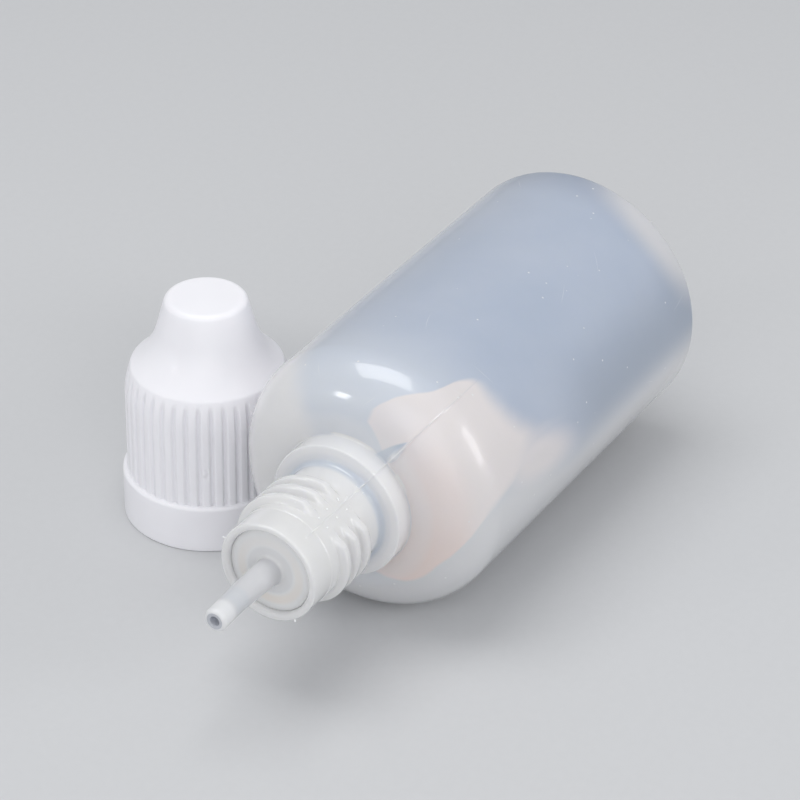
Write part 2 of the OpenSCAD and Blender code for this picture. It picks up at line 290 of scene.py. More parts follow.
def moulded_skin_group():
    """Surface of a moulded plastic piece: slow cloudiness, fine grain and a few specks.
    It reads object coordinates, and its sizes are in millimetres."""
    tree, sizes, ends = new_shader_group(
        "moulded_skin",
        {"Cloud Size": 8.0, "Grain Size": 0.35, "Grain Share": 0.1, "Roughness": 0.3, "Roughness Swing": 0.12,
         "Speck Spacing": 3.0, "Speck Radius": 0.1, "Speck Share": 0.3, "Scratch": 0.0, "Seed": 0.0},
        ("Cloud", "Roughness", "Height", "Speck Mask"))
    spot = tree.nodes.new("ShaderNodeTexCoord").outputs["Object"]
    in_mm = node(tree, "ShaderNodeVectorMath", {0: spot, "Scale": 1 / MM}, operation="SCALE").outputs[0]
    shifted = node(tree, "ShaderNodeVectorMath", {0: in_mm, 1: sizes["Seed"]}, operation="ADD").outputs[0]

    def noise(size, detail):
        feeds = {"Vector": shifted, "Scale": ratio(1.0, size), "Detail": detail}
        return node(tree, "ShaderNodeTexNoise", feeds).outputs["Fac"]

    cloud = noise(sizes["Cloud Size"], 3.0)
    grain = noise(sizes["Grain Size"], 1.5)

    # Specks are the middles of a few cells.
    cells = node(tree, "ShaderNodeTexVoronoi", {"Vector": shifted, "Scale": ratio(1.0, sizes["Speck Spacing"])}).outputs
    luck = node(tree, "ShaderNodeSeparateColor", {0: cells["Color"]}).outputs
    reach = ratio(times(cells["Distance"], sizes["Speck Spacing"]), sizes["Speck Radius"])
    speck = times(minus(2.0, reach, clamp=True), below(luck[0], sizes["Speck Share"]))

    # A scratch is rougher than the skin around it and a little lower, and a speck stands up.
    rough = scaled(minus(cloud, 0.5), sizes["Roughness Swing"], sizes["Roughness"])
    rough = scaled(sizes["Scratch"], 0.2, rough, clamp=True)
    height = scaled(cloud, 0.4, times(grain, sizes["Grain Share"]))
    height = minus(height, times(sizes["Scratch"], 0.06))
    height = scaled(speck, 0.25, height)
    for name, value in (("Cloud", cloud), ("Roughness", rough), ("Height", height), ("Speck Mask", speck)):
        tree.links.new(value, ends[name])
    return tree


def fine_scratches_group():
    """Short curved scratches, one in the middle of some of the cells of an unrolled surface, in millimetres."""
    tree, sizes, ends = new_shader_group(
        "fine_scratches", {"Spacing": 9.0, "Length": 5.0, "Width": 0.07, "Share": 0.4}, ["Scratch"], ["Unrolled"])
    spot = node(tree, "ShaderNodeVectorMath", {0: sizes["Unrolled"], "Scale": ratio(1.0, sizes["Spacing"])},
                operation="SCALE").outputs[0]
    cells = node(tree, "ShaderNodeTexVoronoi", {"Vector": spot, "Scale": 1.0}, voronoi_dimensions="2D").outputs
    apart = node(tree, "ShaderNodeVectorMath", {0: spot, 1: cells["Position"]}, operation="SUBTRACT").outputs[0]
    dx, dy = (times(feed, sizes["Spacing"]) for feed in split(apart)[:2])
    luck = node(tree, "ShaderNodeSeparateColor", {0: cells["Color"]}).outputs
    lean = times(luck[0], 2 * math.pi)
    cosine, sine = calc("COSINE", lean), calc("SINE", lean)
    along = plus(times(dx, cosine), times(dy, sine))
    across = minus(times(dx, sine), times(dy, cosine))
    bend = times(minus(luck[2], 0.5), 0.12)
    across = plus(across, times(bend, times(along, along)))
    line = minus(1.0, ratio(absolute(across), sizes["Width"]), clamp=True)
    half = times(sizes["Length"], 0.5)
    fading = ratio(minus(half, absolute(along)), half, clamp=True)
    chosen = below(luck[1], sizes["Share"])
    tree.links.new(times(times(line, fading), chosen), ends["Scratch"])
    return tree


moulded_skin, fine_scratches = moulded_skin_group(), fine_scratches_group()


def new_material(name):
    """A Principled material, its tree and its shader."""
    material = bpy.data.materials.new(name)
    material.use_nodes = True
    return material, material.node_tree, next(n for n in material.node_tree.nodes if n.type == "BSDF_PRINCIPLED")


def new_plastic(name, skin_sizes, bump, **sockets):
    """A Principled material with the moulded skin wired to its roughness and normal."""
    material, tree, shader = new_material(name)
    for socket, value in sockets.items():
        shader.inputs[socket.replace("_", " ")].default_value = value
    skin = node(tree, "ShaderNodeGroup", skin_sizes, node_tree=moulded_skin)
    relief = node(tree, "ShaderNodeBump", {"Strength": bump, "Distance": 0.05 * MM, "Height": skin.outputs["Height"]})
    tree.links.new(relief.outputs[0], shader.inputs["Normal"])
    tree.links.new(skin.outputs["Roughness"], shader.inputs["Roughness"])
    return material, tree, shader, skin


def mixed(share, first, second):
    """A colour between two, each a socket or three numbers."""
    first, second = ((*feed, 1.0) if isinstance(feed, tuple) else feed for feed in (first, second))
    return node(share.id_data, "ShaderNodeMix", {0: share, 6: first, 7: second}, data_type="RGBA").outputs[2]


def washed(colour, *washes):
    """A colour with tones laid over it in turn. Each wash gives its mask, its strength and its tone."""
    for mask, strength, tone in washes:
        colour = mixed(times(mask, strength) if strength < 1 else mask, colour, tone)
    return colour


def scratched(skin, along, around, **sizes):
    """Wires fine scratches, laid out by two lengths in millimetres, into a skin, and gives their mask."""
    tree = skin.id_data
    feeds = {"Unrolled": vector_of(tree, along, around), **sizes}
    mask = node(tree, "ShaderNodeGroup", feeds, node_tree=fine_scratches).outputs[0]
    tree.links.new(mask, skin.inputs["Scratch"])
    return mask


def over(feed, start, width, rising=True):
    """0 below a start and 1 beyond its width, eased, or the other way round."""
    share = ratio(minus(feed, start), width, clamp=True)
    return eased(share if rising else minus(1.0, share))


def both(*masks):
    """Where all the masks meet."""
    return reduce(times, masks)


def between(feed, start, rise, stop, fall):
    """A mask that rises from a start and falls again from a stop."""
    return both(over(feed, start, rise), over(feed, stop, fall, rising=False))


def bottle_place(tree):
    """Where a point of the bottle or its tip lies: its station along the axis from the base, its place to the
    side of and above the axis, and its radius, in millimetres."""
    spot = split(tree.nodes.new("ShaderNodeTexCoord").outputs["Object"])
    station, side, above = (scaled(feed, 1 / MM, -start) for feed, start in zip(spot, (base_x, axis_y, axis_z)))
    return station, side, above, off_centre(side, above)


bottle_plastic, tree, shader, skin = new_plastic(
    "bottle_plastic",
    {"Cloud Size": 9.0, "Grain Size": 0.45, "Grain Share": 0.1, "Roughness": 0.37, "Roughness Swing": 0.14,
     "Speck Spacing": 2.3, "Speck Radius": 0.08, "Speck Share": 0.8},
    0.3, IOR=1.51, Transmission_Weight=0.25, Subsurface_Weight=0.6, Subsurface_Radius=(1.0, 1.0, 1.1),
    Subsurface_Scale=1.8 * MM, Coat_Roughness=0.06)

# A point's bearing counts in degrees from the top, and its way runs along the wall from the base.
station, side, above, radius = bottle_place(tree)
bearing = times(calc("ARCTAN2", side, above), 180 / math.pi)
way = plus(station, minus(body_r, radius))
round_way = times(bearing, math.radians(body_r))
parting_bearing = 180 - parting_deg
from_parting = minus(times(side, cos_deg(parting_bearing)), times(above, sin_deg(parting_bearing)))
scratch = scratched(skin, way, round_way, Spacing=9.0, Length=3.6, Width=0.05, Share=0.34)


def patch(mid, half, tilt=0.0, soft=0.3, ragged=0.3):
    """A soft-edged oval on the unrolled wall, given by its middle and half sizes along and round it in
    millimetres. Its edge is broken up by the skin's clouds."""
    along, around = minus(way, mid[0]), minus(round_way, mid[1])
    c, s = cos_deg(tilt), sin_deg(tilt)
    main = plus(times(along, c / half[0]), times(around, s / half[0]))
    cross = minus(times(around, c / half[1]), times(along, s / half[1]))
    reach = scaled(minus(skin.outputs["Cloud"], 0.5), ragged, off_centre(main, cross))
    return eased(ratio(minus(1.0 + soft / 2, reach), soft, clamp=True))


def edge_curve(points, longest=70):
    """A smooth limit of the way along the wall for each bearing, from pairs of bearing and way."""
    curve = node(tree, "ShaderNodeFloatCurve", {"Value": ratio(bearing, 180.0)})
    line = curve.mapping.curves[0]
    for i, (degrees, limit) in enumerate(points):
        if i < 2:
            line.points[i].location = (degrees / 180, limit / longest)
        else:
            line.points.new(degrees / 180, limit / longest)
    curve.mapping.update()
    return times(curve.outputs[0], float(longest))


# On one side of the shoulder a painted warm glow, standing in for light that passes through the wall, lies in the
# colour. The edge of that area is crisp near the collar and low on the shoulder, soft elsewhere, and has a tongue along
# the body.
painted_glow_edge = edge_curve([(0, 60), (11, 58.6), (15, 57), (19, 55.2), (24, 53), (29, 50.6), (33, 46.4), (37, 44.7),
                        (43, 44.3), (51, 43.8), (60, 42.4), (68, 40.6), (74, 39.6), (79, 44.0), (83, 51.0), (88, 53.3),
                        (95, 55.3), (104, 57.2), (114, 58.8), (132, 59.7), (148, 61.7), (157, 62.8), (180, 64)])
softness = scaled(between(bearing, 26.0, 28.0, 80.0, 8.0), 4.2, 0.7)
softness = scaled(between(bearing, 66.0, 9.0, 77.5, 7.0), 9.0, softness)
painted_glow = scaled(minus(skin.outputs["Cloud"], 0.5), 2.5, minus(way, painted_glow_edge))
painted_glow = eased(scaled(ratio(painted_glow, softness), 1.0, 0.5, clamp=True))
left_edge = scaled(larger(minus(way, 60.8), 0.0), 7.0, 10.5)
painted_glow = both(painted_glow, over(minus(bearing, left_edge), 0.0, 3.5))
tongue = patch((40.5, 23.0), (7.2, 2.5), tilt=-16.0, soft=1.2, ragged=0.2)
painted_glow = both(larger(painted_glow, times(tongue, 0.85)), below(station, body_len + 0.1))
painted_glow_tone = washed(
    mixed(over(bearing, 25.0, 42.0), (0.94, 0.88, 0.895), (0.975, 0.835, 0.81)),
    (over(bearing, 75.0, 40.0), 1.0, (0.99, 0.80, 0.75)),
    (over(way, 53.0, 5.0, rising=False), 1.0, (0.92, 0.855, 0.85)))

# Painted light makes the wall paler at the rim of the base, on the far side and over the shoulder, and a painted
# whitish glow lies low on the body. Painted shade deepens its tone towards the heel and beside the painted warm glow.
painted_rim_glow = patch((0.0, 12.0), (5.6, 9.3), soft=0.8, ragged=0.15)
painted_far_light = patch((60.0, -20.5), (26.0, 11.0), soft=0.5)
# The low mask marks a painted whitish glow along the lower body.
low_start = scaled(over(way, 30.0, 16.0), -17.0, 83.0)
low = both(over(minus(absolute(bearing), low_start), 0.0, 24.0), over(radius, foot_r, 4.0))
# Painted shade beside the warm glow.
painted_dusk_shade = both(between(bearing, 46.0, 34.0, 90.0, 16.0), over(way, 24.0, 14.0, rising=False))

# A thin sliver of deeper blue lies beside the parting line, between the collar and the end of the pinch.
sliver = smaller(minus(scaled(way, 2.2, bearing), 166.7), minus(parting_bearing + 0.1, bearing))
sliver = both(over(sliver, 0.0, 1.6), over(way, 58.8, 1.2))

# The neck is clear and bluish at its root and milky where the plug fills it. A painted highlight lies on the collar's
# root where it leaves the shoulder, and painted light lifts the thread's valleys.
neck = ratio(minus(station, body_len - 0.2), 0.6, clamp=True)
plugged = ratio(minus(station, plug_s - 1.4), 1.8, clamp=True)
fillet = both(between(station, collar_s - 0.1, 0.3, collar_s + 0.5, 0.9), over(radius, 7.0, 0.6, rising=False))
painted_root_highlight = both(over(radius, collar_r + 0.28, 0.02, rising=False),
               over(absolute(minus(station, body_len + 0.15)), 0.16, 0.03, rising=False))
highlight_bearings = larger(between(bearing, -18.0, 8.0, 20.0, 8.0), between(bearing, 47.0, 3.0, 58.0, 10.0))
painted_valley_light = both(plugged, over(radius, neck_r + 0.1, 0.7, rising=False))

# The parting line is a dark hair on the body and a pale one on the collar and the neck.
parting = minus(1.0, ratio(absolute(from_parting), 0.11), clamp=True)
parting = both(parting, over(station, 43.0, 3.0), below(station, thread_s + 1.2))
pinched = both(between(way, 59.8, 1.2, 63.0, 0.6), over(absolute(from_parting), 0.12, 0.3, rising=False))
marks = larger(times(skin.outputs["Speck Mask"], 0.85), times(scratch, 0.6))

wall_colour = washed(
    mixed(skin.outputs["Cloud"], (0.47, 0.545, 0.675), (0.585, 0.64, 0.755)),
    # painted shade towards the heel
    (over(way, 0.0, 9.0, rising=False), 0.9, (0.33, 0.385, 0.49)),
    # painted shade beside the warm glow
    (painted_dusk_shade, 0.75, (0.35, 0.41, 0.505)),
    # painted light over the shoulder
    (over(way, 39.0, 20.0), 0.87, (0.79, 0.83, 0.905)),
    # painted whitish glow low on the body
    (low, 0.85, (0.79, 0.785, 0.795)),
    # painted glow at the rim of the base
    (painted_rim_glow, 0.8, (0.82, 0.805, 0.81)),
    # painted light on the far side
    (painted_far_light, 0.92, (0.95, 0.935, 0.95)),
    # painted warm glow of light passing through the wall
    (painted_glow, 0.95, painted_glow_tone),
    (sliver, 0.85, (0.54, 0.63, 0.74)),
    (neck, 1.0, (0.93, 0.93, 0.95)),
    (fillet, 0.8, (0.70, 0.765, 0.86)),
    # painted highlight on the collar's root
    (both(painted_root_highlight, highlight_bearings), 1.0, (0.99, 0.99, 0.99)),
    (plugged, 1.0, (0.90, 0.895, 0.90)),
    # painted light in the thread's valleys, against their shade
    (painted_valley_light, 0.7, (0.96, 0.955, 0.96)),
    (parting, 0.25, (0.45, 0.48, 0.55)),
    (pinched, 0.55, (0.62, 0.64, 0.70)),
    (both(parting, over(station, body_len - 0.3, 0.4)), 1.0, (0.96, 0.96, 0.975)),
    (marks, 1.0, (0.97, 0.975, 0.985)))
tree.links.new(wall_colour, shader.inputs["Base Color"])
tree.links.new(scaled(painted_glow, -0.55, 0.95), shader.inputs["Coat Weight"])

bottle_outline = [
    (0, push_up), (foot_r - 1.2, push_up), *arc(foot_r - 0.4, push_up - 0.25, 0.25, 0.25, 90, 0, 4), (foot_r, 0),
    *arc(body_r - heel_in, heel_len, heel_in, heel_len, -90, 0, 22),
    *arc(body_r - shoulder_in, body_len - shoulder_len, shoulder_in, shoulder_len, 0, 90, 34),
    *arc(collar_r + collar_root, body_len + collar_root, collar_root, collar_root, 270, 180, 6),
    *arc(collar_r - collar_edge, collar_s - collar_edge, collar_edge, collar_edge, 0, 90, 6),
    *arc(neck_r + collar_fillet, collar_s + collar_fillet, collar_fillet, collar_fillet, 270, 180, 10),
    (neck_r, lip_s - land_len - 0.05), (land_r, lip_s - land_len + 0.05),
    *arc(land_r - lip_out, lip_s - lip_out, lip_out, lip_out, 0, 90, 6),
    *arc(bore_r + lip_in, lip_s - lip_in, lip_in, lip_in, 90, 180, 9),
    (bore_r, plug_s), (throat_r, plug_s - 0.1), *arc(throat_r + 0.8, body_len - 0.2, 0.8, 0.8, 180, 270, 8),
    *arc(body_r - shoulder_in, body_len - shoulder_len, shoulder_in - body_wall, shoulder_len - body_wall, 90, 0, 28),
    *arc(body_r - heel_in, heel_len, heel_in - body_wall, heel_len - base_wall, 0, -90, 16), (0, base_wall)]


def bottle_run(r, z):
    """The neck's outside is cut finely for the thread, the rest coarsely."""
    if r > neck_r - 0.1 and z > collar_s:
        return 0.1
    return 0.5 if z > collar_s else 1.6


def bell(off, width):
    """A smooth bump, 1 in its middle."""
    return np.exp(-((off / width) ** 2))


def parting_line(r, z, angles):
    """The fine raised line where the mould halves meet, with a thick pinch just behind the collar and a
    small fin left on the heel."""
    height = np.zeros(len(angles))
    if r < neck_r - 0.1 or z > lip_s - land_len + 1.5:
        return height
    for line in (math.radians(parting_deg), math.radians(parting_deg + 180)):
        off = np.abs((angles - line + math.pi) % (2 * math.pi) - math.pi) * r
        height += line_h * min(1.0, max(0.0, (z - 44) / 4)) * bell(off, 0.09)
        if 54 < z < body_len + 0.05:
            height += pinch_h * bell(r - 10.0, 0.8) * np.exp(-((off / 0.36) ** 4))
            height += tail_h * bell(r - 11.9, 1.0) * bell(off, 0.18)
        if z < 4:
            height += fin_h * bell(z - 1.4, 0.45) * bell(off, 0.16)
    return height


near_parting = [line + off for line in (parting_deg, parting_deg + 180)
                for off in (-3, -2.2, -1.6, -1.1, -0.75, -0.45, -0.2, 0, 0.2, 0.45, 0.75, 1.1, 1.6, 2.2, 3)]
bottle_columns = near_parting + [2.0 * i for i in range(180) if min(abs(2.0 * i - a) for a in near_parting) > 0.7]
bottle = turned("bottle_shell", divided(bottle_outline, bottle_run), bottle_columns, raised=parting_line)
screw_thread = screw_thread_tree()
shaped_by(bottle, screw_thread, {
    "Wall Radius": neck_r * MM, "Ridge Height": (crest_r - neck_r) * MM, "Start": thread_s * MM,
    "Pitch": thread_pitch * MM, "Turns": thread_turns, "Root Width": thread_root_w * MM,
    "Crest Width": thread_crest_w * MM, "Run Out": thread_run_out, "Stop Angle": math.radians(parting_deg - 4),
    "Stop Inner": math.radians(7), "Stop Outer": math.radians(30), "Stop Depth": 1.0, "Material": bottle_plastic})
laid(bottle, lying)
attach(bottle, "bottle")
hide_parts("bottle")


# Crumbs of flash
# Tiny beads of plastic that the mould leaves where each thread turn stops at the parting line,
# and two thin ticks on the edge of the lip, all of one piece with the bottle.

bead_r = 0.1


def flash_tree():
    """A small bead on every point, each sized a little differently."""
    tree, sizes = new_geometry_tree("flash_beads", "Bead Radius")
    bead = node(tree, "GeometryNodeMeshIcoSphere", {"Subdivisions": 2, "Radius": sizes["Bead Radius"]})
    size = node(tree, "FunctionNodeRandomValue", {"Min": (0.6, 0.6, 0.6), "Max": (1.3, 1.3, 1.3), "Seed": 7},
                data_type="FLOAT_VECTOR")
    spread = node(tree, "GeometryNodeInstanceOnPoints", {
        "Points": sizes["Geometry"], "Instance": bead.outputs["Mesh"], "Scale": size.outputs[0]})
    return close_geometry_tree(tree, spread.outputs[0], sizes["Material"])


flash_plastic, tree, shader, skin = new_plastic(
    "flash_plastic", {"Cloud Size": 0.5, "Grain Size": 0.1, "Roughness": 0.34, "Speck Share": 0.0, "Seed": 20.0},
    0.2, IOR=1.51, Coat_Weight=1.0, Coat_Roughness=0.05)
# The beads are near white: partly the flash's own paleness, partly painted glints.
flash_glint_colour = mixed(skin.outputs["Cloud"], (0.94, 0.945, 0.96), (0.985, 0.985, 0.99))
tree.links.new(flash_glint_colour, shader.inputs["Base Color"])

chance = random.Random(11)
bead_spots = []


def add_bead(reach, degrees, height):
    bead_spots.append((reach * cos_deg(degrees) * MM, reach * sin_deg(degrees) * MM, height * MM))


for line in (parting_deg, parting_deg + 180):
    for off in (-7.0, 6.5):
        for turn in range(3):
            height = thread_s + thread_pitch * (turn + ((line + off) % 360) / 360)
            add_bead(neck_r + 0.03, line + off + chance.uniform(-1, 1), height + chance.uniform(-0.2, 0.4))
    for i in range(5):
        add_bead(neck_r + 0.02, line + chance.uniform(-8, 8), chance.uniform(collar_s + 1.0, thread_s + 1.0))
for tick_deg in (33.0, 246.0):
    for i in range(5):
        add_bead(land_r - 0.1 + 0.08 * i, tick_deg, lip_s - 0.3 + 0.02 * i)
beads = new_object("flash_beads", bpy.data.meshes.new("flash_beads"))
beads.data.from_pydata(bead_spots, [], [])
shaped_by(beads, flash_tree(), {"Bead Radius": bead_r * MM, "Material": flash_plastic})
for face in beads.data.polygons:
    face.use_smooth = True
laid(beads, lying)
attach(beads, "bottle")


# Dropper tip
# A separate moulded piece of the same plastic, pressed into the neck: a hollow plug with two sealing
# ridges, a flat face just inside the lip, and a long tube whose end is thicker and has a small hole.

ridge_r = bore_r - 0.03
plug_r = ridge_r - 0.15
hollow_r = plug_r - 0.85
tube_root_r, tube_end_r, tube_bore_r, orifice_r = 1.65, 1.4, 0.95, 0.6
tip_s = face_s + 11.2
tube_sag, sag_x, sag_y = 0.15, -0.59, -0.81

tip_plastic, tree, shader, skin = new_plastic(
    "tip_plastic",
    {"Cloud Size": 4.0, "Grain Size": 0.3, "Grain Share": 0.05, "Roughness": 0.36, "Roughness Swing": 0.1,
     "Speck Spacing": 2.2, "Speck Radius": 0.05, "Speck Share": 0.3, "Seed": 40.0},
    0.25, IOR=1.51, Transmission_Weight=0.22, Subsurface_Weight=0.6, Subsurface_Radius=(1.0, 1.0, 1.05),
    Subsurface_Scale=1.2 * MM, Coat_Weight=0.4, Coat_Roughness=0.1)
station, side, above, radius = bottle_place(tree)


def band(feed, low, high, soft):
    """1 between two limits and 0 outside, with soft edges."""
    return between(feed, low - soft / 2, soft, high - soft / 2, soft)


# The flat face is pale, with a greyer ring round the tube's root and a warm one outside it. The tube is bluer before
# its thick end, and has painted shade in its bore.
on_face = band(station, face_s - 0.6, face_s + 0.3, 0.4)
warm_ring = both(on_face, band(radius, 3.2, 4.3, 0.7), scaled(above, -0.09, 0.55, clamp=True))
painted_bore_shade = both(band(station, face_s, tip_s + 1.0, 0.2), below(radius, tube_bore_r + 0.04))
tip_colour = washed(
    mixed(skin.outputs["Cloud"], (0.71, 0.715, 0.74), (0.77, 0.77, 0.79)),
    (on_face, 1.0, (0.95, 0.95, 0.955)),
    (both(on_face, band(radius, 1.9, 2.95, 0.4)), 1.0, (0.86, 0.86, 0.87)),
    (warm_ring, 1.0, (0.96, 0.88, 0.82)),
    (band(station, tip_s - 5.0, tip_s - 2.6, 1.0), 0.6, (0.68, 0.71, 0.76)),
    (band(station, tip_s - 2.2, tip_s + 1.0, 0.7), 1.0, (0.88, 0.885, 0.90)),
    # painted shade inside the bore
    (painted_bore_shade, 0.7, (0.45, 0.47, 0.53)))
tree.links.new(tip_colour, shader.inputs["Base Color"])

tip_outline = [
    (orifice_r, tip_s - 0.06), *arc(orifice_r + 0.06, tip_s - 0.06, 0.06, 0.06, 180, 90, 3),
    *arc(tube_end_r - 0.45, tip_s - 0.45, 0.45, 0.45, 90, 0, 8),
    (tube_end_r, tip_s - 4.2), (tube_root_r + 0.01, face_s + 0.45),
    *arc(tube_root_r + 0.36, face_s + 0.35, 0.35, 0.35, 180, 270, 6),
    *arc(ridge_r - 0.1, face_s - 0.1, 0.1, 0.1, 90, 0, 4),
    (ridge_r, face_s - 1.4), (plug_r, face_s - 1.55), (plug_r, plug_s + 1.55), (ridge_r, plug_s + 1.4),
    (ridge_r, plug_s + 0.15), (plug_r, plug_s), (hollow_r + 0.1, plug_s), (hollow_r, plug_s + 0.1),
    (hollow_r, face_s - 2.5), (hollow_r - 1.2, face_s - 1.3), (tube_bore_r + 0.3, face_s - 1.3),
    (tube_bore_r, face_s - 1.0), (tube_bore_r, tip_s - 2.85), (orifice_r, tip_s - 2.5)]


def tip_run(r, z):
    """The tube is cut finely enough to bow."""
    return 0.25 if r < 2 else 0.5


def tube_bow(z):
    """The tube isn't quite straight: it bows a little to one side between its root and its end."""
    share = min(1.0, max(0.0, (z - face_s) / (tip_s - face_s)))
    bow = tube_sag * math.sin(math.pi * share)
    return sag_x * bow, sag_y * bow


tip = turned("dropper_tip_piece", divided(tip_outline, tip_run), [i * 3.75 for i in range(96)], bowed=tube_bow)
tip.data.materials.append(tip_plastic)
laid(tip, lying)
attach(tip, "dropper_tip")
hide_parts("dropper_tip")


# Outer cap
# Opaque white polypropylene, injection moulded: a smooth band at the mouth, forty grip ribs that
# fade out at a crease, a hollow-curved shoulder and a knob. Lugs inside drive the inner cap.

band_r, band_h, band_round, band_chamfer = 10.45, 6.1, 0.4, 0.15
rib_r, rib_depth, rib_count, rib_w = 9.925, 0.35, 40, 1.05
cap_h, crease_z, lean_z, crease_r = 29.28, 20.28, 16.28, 9.15
waist_r, knob_lean, knob_root_r, knob_round = 9.7, 15.2, 5.93, 0.85
shell_wall, shell_top, shell_bore_r = 1.1, 0.85, 8.65
chamber_r, chamber_top, bead_in_r, bead_z, bead_t = 9.2, 6.2, 8.6, 1.7, 0.6
plate_z = 17.33

# The cap stands upright beside the bottle. The middle of its foot is here, in millimetres.
cap_x, cap_y = 2.85, -16.3125
standing = Matrix.Translation((cap_x * MM, cap_y * MM, 0))

cap_white, tree, shader, skin = new_plastic(
    "cap_white",
    {"Cloud Size": 6.0, "Grain Size": 0.3, "Grain Share": 0.05, "Roughness": 0.35, "Roughness Swing": 0.08,
     "Speck Spacing": 2.6, "Speck Radius": 0.06, "Speck Share": 0.12, "Seed": 90.0},
    0.22, IOR=1.49, Specular_IOR_Level=0.3, Subsurface_Weight=0.35, Subsurface_Radius=(1.0, 0.95, 0.95),
    Subsurface_Scale=0.8 * MM, Coat_Weight=0.12, Coat_Roughness=0.1)
spot = split(tree.nodes.new("ShaderNodeTexCoord").outputs["Object"])
side, ahead = (scaled(feed, 1 / MM, -start) for feed, start in zip(spot, (cap_x, cap_y)))
round_way = times(calc("ARCTAN2", ahead, side), band_r)
scratched(skin, times(spot[2], 1 / MM), round_way, Spacing=7.0, Length=2.4, Width=0.05, Share=0.25)
cap_colour = washed(
    mixed(skin.outputs["Cloud"], (0.84, 0.83, 0.865), (0.87, 0.865, 0.895)),
    (skin.outputs["Speck Mask"], 0.6, (0.30, 0.28, 0.29)))
tree.links.new(cap_colour, shader.inputs["Base Color"])

waist_x = knob_root_r + waist_r * cos_deg(knob_lean)
crease_deg = math.degrees(math.acos((waist_x - crease_r) / waist_r))
waist_z = crease_z + waist_r * sin_deg(crease_deg)
lean = rib_r - crease_r
lean_round = (lean ** 2 + (crease_z - lean_z) ** 2) / (2 * lean)
lean_deg = math.degrees(math.asin((crease_z - lean_z) / lean_round))


def knob_side(z, wall):
    """Radius of the knob's straight side at a height, drawn in by a wall."""
    root_z = waist_z - (waist_r + wall) * sin_deg(knob_lean)
    root_r = waist_x - (waist_r + wall) * cos_deg(knob_lean)
    return root_r - (z - root_z) * math.tan(math.radians(knob_lean))


def hollow_curve(wall, start_deg, steps):
    """The hollow curve of the shoulder up to the knob's side, drawn in by a wall."""
    return arc(waist_x, waist_z, waist_r + wall, waist_r + wall, start_deg, 180 + knob_lean, steps)


tangent_z = cap_h - knob_round * (1 - sin_deg(knob_lean))
top_r = knob_side(tangent_z, 0) - knob_round * cos_deg(knob_lean)
inner_start = 180 + math.degrees(math.acos((waist_x - shell_bore_r) / (waist_r + shell_wall)))
cap_outline = [
    (chamber_r, 0.25), (chamber_r + 0.12, 0), (band_r - band_chamfer, 0), (band_r, band_chamfer),
    *arc(band_r - band_round, band_h - band_round, band_round, band_round, 0, 90, 6),
    *arc(rib_r + 0.08, band_h + 0.08, 0.08, 0.08, 270, 180, 3),
    *arc(rib_r - lean_round, lean_z, lean_round, lean_round, 0, lean_deg, 10),
    *hollow_curve(0, 180 + crease_deg, 30)[1:],
    *arc(top_r, cap_h - knob_round, knob_round, knob_round, knob_lean, 90, 9),
    (0, cap_h), (0, cap_h - shell_top), (knob_side(cap_h - shell_top, shell_wall), cap_h - shell_top),
    *reversed(hollow_curve(shell_wall, inner_start, 12)),
    (shell_bore_r, chamber_top + chamber_r - shell_bore_r), (chamber_r, chamber_top),
    (chamber_r, bead_z), (bead_in_r, bead_z), (bead_in_r, bead_z - bead_t), (chamber_r, 0.5)]


def grip_ribs_tree():
    """Sinks the grooves between the grip ribs into a turned wall. They run out at the crease, and their flanks
    are wider and softer than the rib's width says."""
    tree, sizes = new_geometry_tree("grip_ribs", "Ribs", "Rib Width", "Rib Radius", "Groove Depth", "Foot", "Lean",
                                    "Crease", "Crease Radius")
    x, y, z, radius = point_of(tree)
    angle = plus(ratio(calc("ARCTAN2", y, x), 2 * math.pi), 1.0)
    share = calc("FRACT", times(angle, sizes["Ribs"]))
    from_groove = smaller(share, minus(1.0, share))
    pitch = ratio(times(sizes["Rib Radius"], 2 * math.pi), sizes["Ribs"])
    half_groove = ratio(minus(pitch, sizes["Rib Width"]), times(pitch, 2.0))
    inside = ratio(minus(times(half_groove, 1.7), from_groove), times(half_groove, 1.4), clamp=True)
    rise = ratio(minus(z, sizes["Lean"]), minus(sizes["Crease"], sizes["Lean"]), clamp=True)
    floor_low = minus(sizes["Rib Radius"], sizes["Groove Depth"])
    floor = scaled(rise, minus(sizes["Crease Radius"], floor_low), floor_low)
    fading = ratio(minus(sizes["Crease"], z), 2.2 * MM, clamp=True)
    deep = times(larger(minus(radius, floor), 0.0), eased(fading))
    on_wall = times(calc("GREATER_THAN", z, plus(sizes["Foot"], 0.03 * MM)), below(z, sizes["Crease"]))
    sink = times(times(eased(inside), deep), on_wall)
    return close_moved_outwards(tree, sizes, x, y, radius, times(sink, -1.0))


def cap_run(r, z):
    """The ribbed wall is cut finely for its grooves, the rest coarsely."""
    return 0.4 if r > 9.0 and band_h < z < crease_z else 2.5


def nick(r, z, angles):
    """A small pull in one rib, near its foot."""
    off = ((angles - math.radians(30)) * r) ** 2 + ((z - 10.7) * 0.7) ** 2
    return (0.12 if r > 9.5 else 0.0) * (np.exp(-off / 0.05) - 1.2 * bell(off ** 0.5 - 0.5, 0.15))


rib_shares = (0, 0.045, 0.09, 0.135, 0.18, 0.225, 0.27, 0.315, 0.36, 0.5,
              0.64, 0.685, 0.73, 0.775, 0.82, 0.865, 0.91, 0.955)
cap_columns = [(i + share) * 360 / rib_count for i in range(rib_count) for share in rib_shares]
cap = turned("outer_cap_shell", divided(cap_outline, cap_run), cap_columns, raised=nick)
shaped_by(cap, grip_ribs_tree(), {
    "Ribs": float(rib_count), "Rib Width": rib_w * MM, "Rib Radius": rib_r * MM, "Groove Depth": rib_depth * MM,
    "Foot": band_h * MM, "Lean": lean_z * MM, "Crease": crease_z * MM, "Crease Radius": crease_r * MM,
    "Material": cap_white})
laid(cap, standing)
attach(cap, "outer_cap")
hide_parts("outer_cap")


